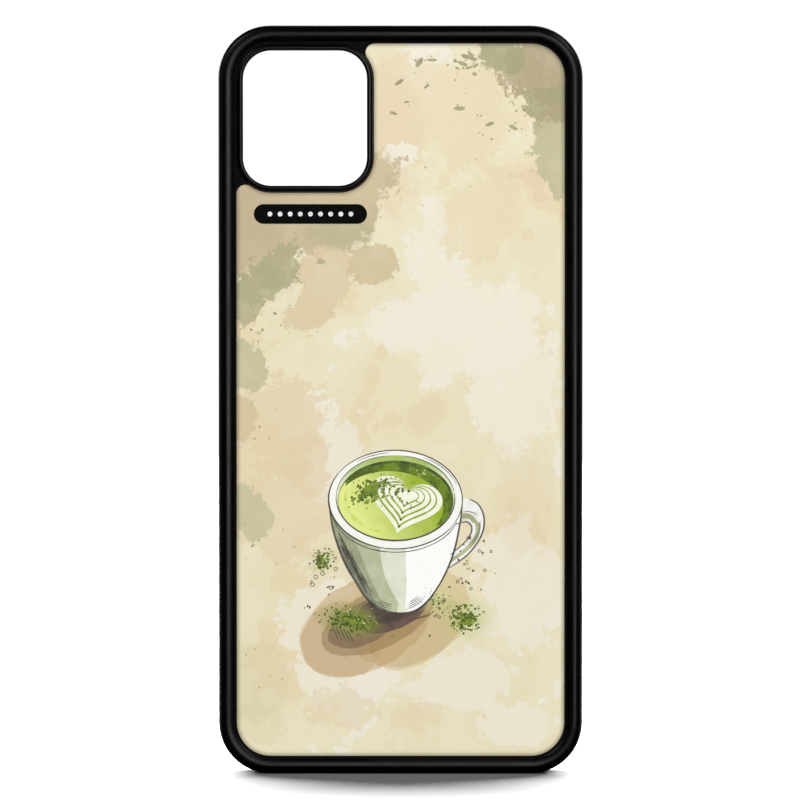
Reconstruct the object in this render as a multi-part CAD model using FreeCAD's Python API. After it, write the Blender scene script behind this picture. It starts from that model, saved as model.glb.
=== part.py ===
"""Printed phone case for a 6.1-inch class handset.

The case stands on its bottom edge with its printed back towards -Y and its open, screen side towards +Y.
X runs across the back, Z up the length, and the origin is the middle of the bottom face.

It is built the way such a case is assembled:
  bumper_frame      soft moulded frame: side walls, rounded back rim, screen lip, camera collar
  back_tray         hard floor that the frame is moulded round, with a half-lap edge
  adhesive_sheet    double-sided sheet under the panel
  aluminium_panel   thin metal panel let into the back
  print_film        glossy printed coating on the panel
  badge_label       pill-shaped label let into the film
  side_key, volume_up_key, volume_down_key   flanged key covers that travel inwards
"""

import FreeCAD
import Part
import math
import os

Vector = FreeCAD.Vector

# Driving dimensions, in millimetres ---------------------------------------------------------------
CASE_LENGTH = 155.5
CASE_WIDTH = 75.6
CASE_DEPTH = 12.0
CORNER_R = 10.8
WALL = 2.2

# Depths along Y. The back is at -Y and the screen side at +Y.
Y_BACK = -CASE_DEPTH / 2
Y_FRONT = CASE_DEPTH / 2
PRINT_RECESS = 1.0
FILM_T = 0.10
PANEL_T = 0.45
ADHESIVE_T = 0.15
TRAY_T = 0.8
TRAY_LAP_T = 0.5
TRAY_LAP_SEAT = 0.45
TRAY_LAP_WIDTH = 0.8
Y_FILM = Y_BACK + PRINT_RECESS
Y_PANEL = Y_FILM + FILM_T
Y_ADHESIVE = Y_PANEL + PANEL_T
Y_TRAY = Y_ADHESIVE + ADHESIVE_T
Y_LAP = Y_TRAY + TRAY_LAP_T
Y_FLOOR = Y_TRAY + TRAY_T

# The frame's section, in S outwards from the corner centre line, which is CORNER_R inside the outer face.
RIM_WIDTH = 3.65
RIM_OUTER_R = 1.75
RIM_FLANK_DROP = 0.9
S_OUTER = CORNER_R
S_CREST = S_OUTER - RIM_OUTER_R
S_RECESS = S_OUTER - RIM_WIDTH
S_CAVITY = S_OUTER - WALL
S_TRAY_LAP = S_RECESS - TRAY_LAP_SEAT
S_TRAY = S_TRAY_LAP - TRAY_LAP_WIDTH
S_FLOOR_FILLET = 6.6
FRONT_EDGE_R = 1.5
LIP_REACH = 1.2
LIP_EDGE_R = 0.6
LIP_FACE_T = 0.4
S_LIP = S_CAVITY - LIP_REACH
Y_LIP_UNDER = Y_FRONT - LIP_EDGE_R - LIP_FACE_T

# Camera window, with the raised collar round it.
WINDOW_WIDTH = 25.7
WINDOW_LENGTH = 28.0
WINDOW_R = 5.8
WINDOW_X = -19.83
WINDOW_Z = 136.3
COLLAR_WIDTH = 1.35
COLLAR_INNER_R = 0.5
CORNER_BLOCK_DROP = 0.55
TIP_R = 2.0

# Panel and badge.
PANEL_GAP = 0.10
BADGE_WIDTH = 23.5
BADGE_HEIGHT = 4.1
BADGE_X = -18.7
BADGE_Z = 116.42
# The badge's ends are a hair flatter than half circles, so that its outline keeps its short straight edges.
BADGE_END_FLAT = 0.001

# Keys, all on the handset's mid-plane. Z is each centre's height.
PHONE_DEPTH = 8.3
Y_KEYS = Y_FLOOR + PHONE_DEPTH / 2
KEY_HEIGHT = 3.6
KEY_GAP = 0.15
KEY_TRAVEL = 0.5
KEY_EDGE_R = 0.45
SCOOP_MARGIN = 1.3
SCOOP_DEPTH = 0.35
SCOOP_TAPER = 0.6
FLANGE_MARGIN = 0.8
FLANGE_T = 0.6
FLANGE_GAP = 0.02
POCKET_SPARE = 0.1
POCKET_DEPTH = FLANGE_T + KEY_TRAVEL + POCKET_SPARE
POCKET_GAP = 0.25
KEYS = {
    "side_key": {"side": -1, "z": 106.3, "length": 15.0, "grooves": 5},
    "volume_up_key": {"side": 1, "z": 119.6, "length": 10.4, "grooves": 3},
    "volume_down_key": {"side": 1, "z": 105.4, "length": 10.4, "grooves": 3},
}
GRIP_GROOVE_WIDTH = 0.35
GRIP_GROOVE_DEPTH = 0.18
GRIP_PITCH = 0.95

# Openings for the handset's slider, charging port and loudspeakers.
SLIDER_LENGTH = 9.6
SLIDER_HEIGHT = 5.4
SLIDER_Z = 132.6
PORT_WIDTH = 12.6
PORT_HEIGHT = 6.4
SPEAKER_HOLE_R = 0.9
SPEAKER_HOLES = 5
SPEAKER_PITCH = 2.9
SPEAKER_FIRST_X = 11.4

# Air cushions: shallow pockets inside each corner, which let it give when it is dropped.
CUSHION_DEPTH = 0.5
CUSHION_ANGLE = 18.0
CUSHION_PITCH = 22.0
CUSHIONS_PER_CORNER = 3
CUSHION_Y = (-0.9, 2.9)

CENTRE_Z = CASE_LENGTH / 2
# The four corners, anticlockwise from the lower right one, as signs of X and Z.
CORNERS = ((1, -1), (1, 1), (-1, 1), (-1, -1))
# A cutter runs OVERRUN past the face that it opens, and joined shapes share OVERLAP.
OVERRUN = 1.0
OVERLAP = 0.3


# Helpers ------------------------------------------------------------------------------------------
def arc(centre_x, centre_z, radius, start, end, y=0.0):
    """An arc in an XZ plane, from angle start to end in degrees, measured from +X towards +Z."""

    def point(angle):
        a = math.radians(angle)
        return Vector(centre_x + radius * math.cos(a), y, centre_z + radius * math.sin(a))

    return Part.Arc(point(start), point((start + end) / 2), point(end)).toShape()


def line(x0, z0, x1, z1, y=0.0):
    return Part.LineSegment(Vector(x0, y, z0), Vector(x1, y, z1)).toShape()


def rounded_rectangle(half_width, half_length, radius, x=0.0, z=0.0, y=0.0):
    """A closed wire in an XZ plane."""
    left, right = x - half_width, x + half_width
    bottom, top = z - half_length, z + half_length
    return Part.Wire(
        [
            line(left + radius, bottom, right - radius, bottom, y),
            arc(right - radius, bottom + radius, radius, -90, 0, y),
            line(right, bottom + radius, right, top - radius, y),
            arc(right - radius, top - radius, radius, 0, 90, y),
            line(right - radius, top, left + radius, top, y),
            arc(left + radius, top - radius, radius, 90, 180, y),
            line(left, top - radius, left, bottom + radius, y),
            arc(left + radius, bottom + radius, radius, 180, 270, y),
        ]
    )


def prism(wire, y_low, y_high):
    """The solid between two depths, from a wire drawn at y = 0."""
    face = Part.Face(wire)
    face.translate(Vector(0, y_low, 0))
    return face.extrude(Vector(0, y_high - y_low, 0))


def case_outline(s):
    """The outline that runs at S round the whole case."""
    inset = CORNER_R - s
    return rounded_rectangle(CASE_WIDTH / 2 - inset, CASE_LENGTH / 2 - inset, s, z=CENTRE_Z)


def window_outline(growth):
    return rounded_rectangle(
        WINDOW_WIDTH / 2 + growth, WINDOW_LENGTH / 2 + growth, WINDOW_R + growth, WINDOW_X, WINDOW_Z
    )


def ring(profile, half_width, half_length, radius, x, z):
    """Carries a section round a rounded rectangle: an extrusion along each side and a quarter turn at each
    corner. The section lies in the XY plane, with X as the distance out from the corner centre."""
    reach_x, reach_z = half_width - radius, half_length - radius
    pieces = []
    for turn, (sign_x, sign_z) in enumerate(CORNERS):
        next_x, next_z = CORNERS[(turn + 1) % 4]
        side = profile.copy()
        side.rotate(Vector(0, 0, 0), Vector(0, -1, 0), 90 * turn)
        side.translate(Vector(sign_x * reach_x, 0, sign_z * reach_z))
        pieces.append(side.extrude(Vector((next_x - sign_x) * reach_x, 0, (next_z - sign_z) * reach_z)))
        corner = profile.copy()
        corner.rotate(Vector(0, 0, 0), Vector(0, -1, 0), 90 * (turn - 1))
        corner_centre = Vector(sign_x * reach_x, 0, sign_z * reach_z)
        corner.translate(corner_centre)
        pieces.append(corner.revolve(corner_centre, Vector(0, -1, 0), 90))
    joined = pieces[0].multiFuse(pieces[1:]).removeSplitter()
    joined.translate(Vector(x, 0, z))
    return joined


def section_line(s0, y0, s1, y1):
    return Part.LineSegment(Vector(s0, y0, 0), Vector(s1, y1, 0)).toShape()


def section_arc(centre_s, centre_y, radius, start, end):
    """An arc in the section's plane, with angles in degrees from +S towards +Y."""

    def point(angle):
        a = math.radians(angle)
        return Vector(centre_s + radius * math.cos(a), centre_y + radius * math.sin(a), 0)

    return Part.Arc(point(start), point((start + end) / 2), point(end)).toShape()


def stadium(length, height, x):
    """A stadium-shaped wire in the plane at x, long way up Z, centred on y = 0, z = 0."""
    radius = height / 2
    reach = length / 2 - radius

    def at(y, z):
        return Vector(x, y, z)

    return Part.Wire(
        [
            Part.LineSegment(at(radius, -reach), at(radius, reach)).toShape(),
            Part.Arc(at(radius, reach), at(0, reach + radius), at(-radius, reach)).toShape(),
            Part.LineSegment(at(-radius, reach), at(-radius, -reach)).toShape(),
            Part.Arc(at(-radius, -reach), at(0, -reach - radius), at(radius, -reach)).toShape(),
        ]
    )


def stadium_bar(length, height, x_low, x_high):
    return Part.Face(stadium(length, height, x_low)).extrude(Vector(x_high - x_low, 0, 0))


def tapered_scoop(length, height, x_bottom, x_surface):
    """A shallow scoop: a stadium at its bottom, wider where it meets the surface and above."""
    wide_l, wide_h = length + 2 * SCOOP_TAPER, height + 2 * SCOOP_TAPER
    taper = Part.makeLoft([stadium(length, height, x_bottom), stadium(wide_l, wide_h, x_surface)], True, True)
    return taper.fuse(stadium_bar(wide_l, wide_h, x_surface, x_surface + OVERRUN))


def on_side(shape, side, z):
    """Moves a shape drawn for the +X wall to its height, on the +X wall or turned round to the -X wall."""
    placed = shape.copy()
    if side < 0:
        placed.rotate(Vector(0, 0, 0), Vector(0, 0, 1), 180)
    placed.translate(Vector(0, Y_KEYS, z))
    return placed


def on_bottom(shape, x):
    """Moves a shape drawn for the +X wall to the bottom wall, so that its length lies along X."""
    placed = shape.copy()
    placed.rotate(Vector(0, 0, 0), Vector(0, 1, 0), 90)
    placed.translate(Vector(x, Y_KEYS, CASE_WIDTH / 2))
    return placed


# The outline that the panel, the adhesive, the film and the tray share ----------------------------
def recess_outline(gap):
    """The recess in the back: a rounded rectangle less the camera collar, with rounded tips where the collar
    runs into the rim. A gap draws the outline that much inside it."""
    inset = RIM_WIDTH + gap
    left, right = -CASE_WIDTH / 2 + inset, CASE_WIDTH / 2 - inset
    bottom, top = inset, CASE_LENGTH - inset
    corner_r = CORNER_R - inset
    tip_r = TIP_R - gap
    collar_r = WINDOW_R + COLLAR_WIDTH + gap
    collar_half_x = WINDOW_WIDTH / 2 - WINDOW_R
    collar_half_z = WINDOW_LENGTH / 2 - WINDOW_R
    near_x, far_x = WINDOW_X - collar_half_x, WINDOW_X + collar_half_x
    low_z, high_z = WINDOW_Z - collar_half_z, WINDOW_Z + collar_half_z

    # The upper tip's circle touches the top edge and the collar's upper right corner.
    upper_z = top - tip_r
    upper_x = far_x + math.sqrt((collar_r + tip_r) ** 2 - (upper_z - high_z) ** 2)
    upper_angle = math.degrees(math.atan2(upper_z - high_z, upper_x - far_x))
    # The lower tip's circle touches the left edge and the collar's lower left corner.
    lower_x = left + tip_r
    lower_z = low_z - math.sqrt((collar_r + tip_r) ** 2 - (lower_x - near_x) ** 2)
    lower_angle = math.degrees(math.atan2(lower_z - low_z, lower_x - near_x))

    return Part.Wire(
        [
            line(upper_x, top, right - corner_r, top),
            arc(right - corner_r, top - corner_r, corner_r, 90, 0),
            line(right, top - corner_r, right, bottom + corner_r),
            arc(right - corner_r, bottom + corner_r, corner_r, 0, -90),
            line(right - corner_r, bottom, left + corner_r, bottom),
            arc(left + corner_r, bottom + corner_r, corner_r, -90, -180),
            line(left, bottom + corner_r, left, lower_z),
            arc(lower_x, lower_z, tip_r, 180, lower_angle + 180),
            arc(near_x, low_z, collar_r, lower_angle, -90),
            line(near_x, low_z - collar_r, far_x, low_z - collar_r),
            arc(far_x, low_z, collar_r, -90, 0),
            line(far_x + collar_r, low_z, far_x + collar_r, high_z),
            arc(far_x, high_z, collar_r, 0, upper_angle),
            arc(upper_x, upper_z, tip_r, upper_angle + 180, 90),
        ]
    )


def badge_outline():
    end_r = BADGE_HEIGHT / 2 - BADGE_END_FLAT
    return rounded_rectangle(BADGE_WIDTH / 2, BADGE_HEIGHT / 2, end_r, BADGE_X, BADGE_Z)


# Sub-parts ----------------------------------------------------------------------------------------
def frame_section():
    """The bumper's section: lap over the tray, recess wall, round rim, outer wall, screen lip and cavity."""
    flank_width = S_CREST - S_RECESS
    flank_r = (flank_width**2 + RIM_FLANK_DROP**2) / (2 * RIM_FLANK_DROP)
    flank_angle = math.degrees(math.asin(flank_width / flank_r))
    floor_r = S_CAVITY - S_FLOOR_FILLET
    lip_r = S_CAVITY - S_LIP
    y_rim_foot = Y_BACK + RIM_FLANK_DROP
    return Part.Face(
        Part.Wire(
            [
                section_line(S_TRAY, Y_FLOOR, S_TRAY, Y_LAP),
                section_line(S_TRAY, Y_LAP, S_TRAY_LAP, Y_LAP),
                section_line(S_TRAY_LAP, Y_LAP, S_TRAY_LAP, Y_TRAY),
                section_line(S_TRAY_LAP, Y_TRAY, S_RECESS, Y_TRAY),
                section_line(S_RECESS, Y_TRAY, S_RECESS, y_rim_foot),
                section_arc(S_CREST, Y_BACK + flank_r, flank_r, -90 - flank_angle, -90),
                section_arc(S_CREST, Y_BACK + RIM_OUTER_R, RIM_OUTER_R, -90, 0),
                section_line(S_OUTER, Y_BACK + RIM_OUTER_R, S_OUTER, Y_FRONT - FRONT_EDGE_R),
                section_arc(S_OUTER - FRONT_EDGE_R, Y_FRONT - FRONT_EDGE_R, FRONT_EDGE_R, 0, 90),
                section_line(S_OUTER - FRONT_EDGE_R, Y_FRONT, S_LIP + LIP_EDGE_R, Y_FRONT),
                section_arc(S_LIP + LIP_EDGE_R, Y_FRONT - LIP_EDGE_R, LIP_EDGE_R, 90, 180),
                section_line(S_LIP, Y_FRONT - LIP_EDGE_R, S_LIP, Y_LIP_UNDER),
                section_arc(S_LIP, Y_LIP_UNDER - lip_r, lip_r, 90, 0),
                section_line(S_CAVITY, Y_LIP_UNDER - lip_r, S_CAVITY, Y_FLOOR + floor_r),
                section_arc(S_FLOOR_FILLET, Y_FLOOR + floor_r, floor_r, 0, -90),
                section_line(S_FLOOR_FILLET, Y_FLOOR, S_TRAY, Y_FLOOR),
            ]
        )
    )


def collar_section():
    """The camera collar's section, from the cavity floor to its rounded crest, flush with the back rim."""
    inner = WINDOW_R
    outer = WINDOW_R + COLLAR_WIDTH
    crest = inner + COLLAR_INNER_R
    outer_r = outer - crest
    return Part.Face(
        Part.Wire(
            [
                section_line(inner, Y_FLOOR, inner, Y_BACK + COLLAR_INNER_R),
                section_arc(crest, Y_BACK + COLLAR_INNER_R, COLLAR_INNER_R, 180, 270),
                section_arc(crest, Y_BACK + outer_r, outer_r, -90, 0),
                section_line(outer, Y_BACK + outer_r, outer, Y_FLOOR),
                section_line(outer, Y_FLOOR, inner, Y_FLOOR),
            ]
        )
    )


def corner_block():
    """The solid corner between the camera collar and the rim, a little below their crests."""
    block = prism(case_outline(S_RECESS + OVERLAP), Y_BACK + CORNER_BLOCK_DROP, Y_FLOOR)
    block = block.cut(prism(recess_outline(0), Y_BACK - OVERRUN, Y_FRONT))
    return block.cut(prism(window_outline(OVERLAP), Y_BACK - OVERRUN, Y_FRONT))


def key_opening(key):
    """The scoop, slot and inner pocket that one key sits in."""
    half = CASE_WIDTH / 2
    slot_l, slot_h = key["length"] + 2 * KEY_GAP, KEY_HEIGHT + 2 * KEY_GAP
    pocket_l = key["length"] + 2 * (FLANGE_MARGIN + POCKET_GAP)
    pocket_h = KEY_HEIGHT + 2 * (FLANGE_MARGIN + POCKET_GAP)
    scoop = tapered_scoop(
        key["length"] + 2 * SCOOP_MARGIN, KEY_HEIGHT + 2 * SCOOP_MARGIN, half - SCOOP_DEPTH, half
    )
    slot = stadium_bar(slot_l, slot_h, half - WALL - OVERRUN, half + OVERRUN)
    pocket = stadium_bar(pocket_l, pocket_h, half - WALL - OVERRUN, half - WALL + POCKET_DEPTH)
    return on_side(scoop.fuse([slot, pocket]), key["side"], key["z"])


def slider_opening():
    half = CASE_WIDTH / 2
    scoop = tapered_scoop(SLIDER_LENGTH, SLIDER_HEIGHT, half - 2 * SCOOP_DEPTH, half)
    slot = stadium_bar(SLIDER_LENGTH, SLIDER_HEIGHT, half - WALL - OVERRUN, half + OVERRUN)
    return on_side(scoop.fuse(slot), 1, SLIDER_Z)


def port_opening():
    half = CASE_WIDTH / 2
    scoop = tapered_scoop(PORT_WIDTH, PORT_HEIGHT, half - 2 * SCOOP_DEPTH, half)
    slot = stadium_bar(PORT_WIDTH, PORT_HEIGHT, half - WALL - OVERRUN, half + OVERRUN)
    return on_bottom(scoop.fuse(slot), 0.0)


def speaker_openings():
    """Two rows of round holes through the bottom wall, one each side of the port."""
    holes = []
    for side in (-1, 1):
        for i in range(SPEAKER_HOLES):
            x = side * (SPEAKER_FIRST_X + i * SPEAKER_PITCH)
            start = Vector(x, Y_KEYS, -OVERRUN)
            holes.append(Part.makeCylinder(SPEAKER_HOLE_R, WALL + 2 * OVERRUN, start, Vector(0, 0, 1)))
    return holes


def corner_cushions():
    """Short arc-shaped pockets in the cavity wall of each corner."""
    inner, outer = S_CAVITY - OVERLAP, S_CAVITY + CUSHION_DEPTH
    low, high = CUSHION_Y
    pocket = Part.Face(
        Part.Wire(
            [
                section_line(inner, low, outer, low),
                section_line(outer, low, outer, high),
                section_line(outer, high, inner, high),
                section_line(inner, high, inner, low),
            ]
        )
    )
    reach_x, reach_z = CASE_WIDTH / 2 - CORNER_R, CASE_LENGTH / 2 - CORNER_R
    span = (CUSHIONS_PER_CORNER - 1) * CUSHION_PITCH + CUSHION_ANGLE
    pockets = []
    for turn, (sign_x, sign_z) in enumerate(CORNERS):
        for i in range(CUSHIONS_PER_CORNER):
            start = 90 * (turn - 1) + (90 - span) / 2 + i * CUSHION_PITCH
            piece = pocket.revolve(Vector(0, 0, 0), Vector(0, -1, 0), CUSHION_ANGLE)
            piece.rotate(Vector(0, 0, 0), Vector(0, -1, 0), start)
            piece.translate(Vector(sign_x * reach_x, 0, CENTRE_Z + sign_z * reach_z))
            pockets.append(piece)
    return pockets


def bumper_frame():
    body = ring(frame_section(), CASE_WIDTH / 2, CASE_LENGTH / 2, CORNER_R, 0, CENTRE_Z)
    collar = ring(collar_section(), WINDOW_WIDTH / 2, WINDOW_LENGTH / 2, WINDOW_R, WINDOW_X, WINDOW_Z)
    body = body.multiFuse([corner_block(), collar])
    body = body.cut(prism(window_outline(0), Y_BACK - OVERRUN, Y_FLOOR + OVERRUN))
    openings = [key_opening(key) for key in KEYS.values()]
    openings += [slider_opening(), port_opening()]
    openings += speaker_openings()
    openings += corner_cushions()
    return body.cut(openings).removeSplitter()


def back_tray():
    shape = prism(recess_outline(0), Y_TRAY, Y_FLOOR)
    lap = prism(case_outline(S_TRAY_LAP), Y_TRAY, Y_LAP)
    top = prism(case_outline(S_TRAY), Y_LAP, Y_FLOOR)
    return shape.common(lap.fuse(top)).removeSplitter()


def panel_layer(y_low, y_high):
    return prism(recess_outline(PANEL_GAP), y_low, y_high)


def print_film():
    return panel_layer(Y_FILM, Y_PANEL).cut(prism(badge_outline(), Y_FILM - OVERRUN, Y_PANEL + OVERRUN))


def badge_label():
    return prism(badge_outline(), Y_FILM, Y_PANEL)


def key_cover(key):
    """A key with a rounded outer face, fine grip grooves, and a flange that keeps it in its pocket."""
    half = CASE_WIDTH / 2
    x_flange = half - WALL + POCKET_DEPTH - FLANGE_GAP
    stem = stadium_bar(key["length"], KEY_HEIGHT, x_flange - FLANGE_T, half)
    outer_edges = [edge for edge in stem.Edges if min(v.X for v in edge.Vertexes) > half - KEY_EDGE_R]
    stem = stem.makeFillet(KEY_EDGE_R, outer_edges)
    for i in range(key["grooves"]):
        z = (i - (key["grooves"] - 1) / 2) * GRIP_PITCH
        corner = Vector(half - GRIP_GROOVE_DEPTH, -KEY_HEIGHT, z - GRIP_GROOVE_WIDTH / 2)
        groove = Part.makeBox(OVERRUN, 2 * KEY_HEIGHT, GRIP_GROOVE_WIDTH, corner)
        stem = stem.cut(groove)
    flange = stadium_bar(
        key["length"] + 2 * FLANGE_MARGIN, KEY_HEIGHT + 2 * FLANGE_MARGIN, x_flange - FLANGE_T, x_flange
    )
    return on_side(stem.fuse(flange).removeSplitter(), key["side"], key["z"])


def export(name, shape):
    solids = shape.Solids
    if not shape.isValid() or not solids:
        raise ValueError(f"{name} isn't a valid closed solid")
    shape = solids[0] if len(solids) == 1 else Part.makeCompound(solids)
    shape.exportStep(os.path.join("parts", name + ".step"))
    print(f"{name}: {len(solids)} solid, {shape.Volume:.1f} mm3")


def main():
    os.makedirs("parts", exist_ok=True)
    export("bumper_frame", bumper_frame())
    export("back_tray", back_tray())
    export("adhesive_sheet", panel_layer(Y_ADHESIVE, Y_TRAY))
    export("aluminium_panel", panel_layer(Y_PANEL, Y_ADHESIVE))
    export("print_film", print_film())
    export("badge_label", badge_label())
    for name, key in KEYS.items():
        export(name, key_cover(key))


main()
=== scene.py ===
"""The look of a printed phone case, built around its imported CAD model.

The CAD nodes keep their shapes and get detailed materials, and the tray's floor gets raised dots. The
picture on the back is a watercolour ground, painted in the film's material, and over it a drawing in thin
layers of printed ink: a mug of green tea with a plain heart of milk on it. Sizes are in millimetres until a
mesh is made, and places on the panel are shares of its width and height.
"""

import bmesh
import bpy
import math
import random
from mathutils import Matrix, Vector


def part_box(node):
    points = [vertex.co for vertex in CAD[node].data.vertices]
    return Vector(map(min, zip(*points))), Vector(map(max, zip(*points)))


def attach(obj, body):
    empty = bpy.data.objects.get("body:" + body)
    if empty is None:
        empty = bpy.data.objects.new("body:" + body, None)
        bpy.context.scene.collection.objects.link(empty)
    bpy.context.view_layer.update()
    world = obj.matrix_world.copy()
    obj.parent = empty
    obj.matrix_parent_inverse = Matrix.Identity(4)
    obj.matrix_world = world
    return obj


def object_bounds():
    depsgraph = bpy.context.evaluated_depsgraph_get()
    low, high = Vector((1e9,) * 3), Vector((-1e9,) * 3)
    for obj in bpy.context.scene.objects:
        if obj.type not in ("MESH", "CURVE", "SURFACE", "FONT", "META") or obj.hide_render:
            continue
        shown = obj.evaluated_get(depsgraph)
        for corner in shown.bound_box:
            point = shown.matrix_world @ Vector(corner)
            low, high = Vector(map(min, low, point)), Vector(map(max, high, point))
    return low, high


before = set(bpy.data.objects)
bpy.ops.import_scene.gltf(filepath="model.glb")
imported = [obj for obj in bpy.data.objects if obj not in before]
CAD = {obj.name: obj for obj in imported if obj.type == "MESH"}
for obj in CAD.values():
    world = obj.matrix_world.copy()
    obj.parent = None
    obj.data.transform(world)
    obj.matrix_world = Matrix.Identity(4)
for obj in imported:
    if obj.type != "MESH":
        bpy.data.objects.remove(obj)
cad_low, cad_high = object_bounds()

MM = 0.001
CASE_BODY = "case"
FILM_LOW, FILM_HIGH = (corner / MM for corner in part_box("print_film"))
BADGE_LOW, BADGE_HIGH = (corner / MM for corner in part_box("badge_label"))
TRAY_LOW, TRAY_HIGH = (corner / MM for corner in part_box("back_tray"))
CASE_LOW, CASE_HIGH = (corner / MM for corner in (cad_low, cad_high))

# Printed ink lies on the film in thin layers, each a little higher than the last. Shapes of one layer that
# overlap are a hair's breadth apart in height, so that no two faces share a plane.
INK_STEP = 0.005
LEVEL_STEP = 0.0015

# The camera collar's outline, the corner radii of the film and the tray, and the depth of the web beside the
# collar.
COLLAR_LOW = (-34.03, 120.95)
COLLAR_HIGH = (-5.63, 151.65)
COLLAR_R = 7.15
FILM_CORNER_R = 7.05
TRAY_CORNER_R = 5.9
CORNER_WEB_Y = -5.45

# Painted shade: how the print's colour darkens along the recess wall and the collar, where the rim's shade
# falls: over what distance, how much, and how sharply.
BORDER_FADE = 1.4
BORDER_PAINTED_SHADE = 0.6
BORDER_POWER = 2.0

# How shiny the print is.
PRINT_SPECULAR = 0.15
PRINT_COAT = 0.15
PRINT_COAT_ROUGHNESS = 0.12
PRINT_ROUGHNESS = (0.28, 0.38)
PRINT_GRAIN_DEPTH = 0.0015

# Colours, as sRGB hex.
CREAM = "F0EAD8"
PALE_LIME = "EBE3C3"
BEIGE = "E8D9B3"
BLUSH = "E5D0AE"
PEACH = "E3D0AA"
LIGHT_TAN = "D0BF97"
TAN = "C4B390"
DARK_TAN = "B9A885"
DARK_OLIVE = "ABA67E"
OLIVE = "B0AB82"
SHADED_TAN = "AD9D79"
SHADED_OLIVE = "A29D73"
PALE_OLIVE = "C1BC93"
SPATTER = "ABA37D"


def linear(code, alpha=1.0):
    """A hex colour as Blender's linear RGBA."""

    def channel(text):
        c = int(text, 16) / 255
        return c / 12.92 if c <= 0.04045 else ((c + 0.055) / 1.055) ** 2.4

    return (channel(code[0:2]), channel(code[2:4]), channel(code[4:6]), alpha)


# Materials ----------------------------------------------------------------------------------------
class Shader:
    """A material's node tree, with short calls for the nodes that this script uses."""

    def __init__(self, name, **surface):
        self.material = bpy.data.materials.new(name)
        self.material.use_nodes = True
        self.nodes = self.material.node_tree.nodes
        self.links = self.material.node_tree.links
        self.surface = self.nodes["Principled BSDF"]
        for key, value in surface.items():
            self.surface.inputs[key.replace("_", " ")].default_value = value
        place = self.nodes.new("ShaderNodeTexCoord").outputs["Object"]
        self.place = self.vector("SCALE", place, scale=1 / MM)

    def feed(self, socket, value):
        if isinstance(value, bpy.types.NodeSocket):
            self.links.new(value, socket)
        elif value is not None:
            socket.default_value = value

    def vector(self, operation, a, b=None, scale=None):
        node = self.nodes.new("ShaderNodeVectorMath")
        node.operation = operation
        self.feed(node.inputs[0], a)
        self.feed(node.inputs[1], b)
        self.feed(node.inputs[3], scale)
        return node.outputs["Value" if operation in ("LENGTH", "DOT_PRODUCT") else "Vector"]

    def math(self, operation, a, b=None, clamp=False):
        node = self.nodes.new("ShaderNodeMath")
        node.operation = operation
        node.use_clamp = clamp
        self.feed(node.inputs[0], a)
        self.feed(node.inputs[1], b)
        return node.outputs[0]

    def noise(self, size, detail=4.0, roughness=0.5, distortion=0.0, shift=(0, 0, 0), place=None):
        """Noise with features of about the given size in millimetres. Gives its value and its colour."""
        node = self.nodes.new("ShaderNodeTexNoise")
        moved = self.vector("ADD", place or self.place, shift)
        self.feed(node.inputs["Vector"], moved)
        self.feed(node.inputs["Scale"], 1 / size)
        self.feed(node.inputs["Detail"], detail)
        self.feed(node.inputs["Roughness"], roughness)
        self.feed(node.inputs["Distortion"], distortion)
        return node.outputs["Fac"], node.outputs["Color"]

    def cells(self, size):
        """Distance from the nearest of many scattered points, about the given size apart."""
        node = self.nodes.new("ShaderNodeTexVoronoi")
        self.feed(node.inputs["Vector"], self.place)
        self.feed(node.inputs["Scale"], 1 / size)
        return node.outputs["Distance"]

    def channels(self, colour):
        node = self.nodes.new("ShaderNodeSeparateColor")
        self.feed(node.inputs[0], colour)
        return list(node.outputs)

    def between(self, value, low, high, out_low=0.0, out_high=1.0):
        """Turns the range from low to high into another range, with a smooth start and end."""
        node = self.nodes.new("ShaderNodeMapRange")
        node.interpolation_type = "SMOOTHSTEP"
        for name, number in (
            ("Value", value),
            ("From Min", low),
            ("From Max", high),
            ("To Min", out_low),
            ("To Max", out_high),
        ):
            self.feed(node.inputs[name], number)
        return node.outputs[0]

    def mix(self, factor, a, b, blend="MIX"):
        node = self.nodes.new("ShaderNodeMix")
        node.data_type = "RGBA"
        node.blend_type = blend
        self.feed(node.inputs["Factor"], factor)
        self.feed(node.inputs[6], a)
        self.feed(node.inputs[7], b)
        return node.outputs[2]

    def ramp(self, factor, stops):
        node = self.nodes.new("ShaderNodeValToRGB")
        elements = node.color_ramp.elements
        while len(elements) < len(stops):
            elements.new(0.5)
        for element, (position, code) in zip(elements, stops):
            element.position = position
            element.color = linear(code)
        self.feed(node.inputs[0], factor)
        return node.outputs[0]

    def axis(self, name):
        node = self.nodes.new("ShaderNodeSeparateXYZ")
        self.feed(node.inputs[0], self.place)
        return node.outputs[name]

    def bump(self, height, depth, below=None):
        """A bump whose height runs over the given depth in millimetres."""
        node = self.nodes.new("ShaderNodeBump")
        node.inputs["Strength"].default_value = 1.0
        node.inputs["Distance"].default_value = depth * MM
        self.feed(node.inputs["Height"], height)
        self.feed(node.inputs["Normal"], below)
        return node.outputs[0]

    def set(self, name, value):
        self.feed(self.surface.inputs[name], value)


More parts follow.
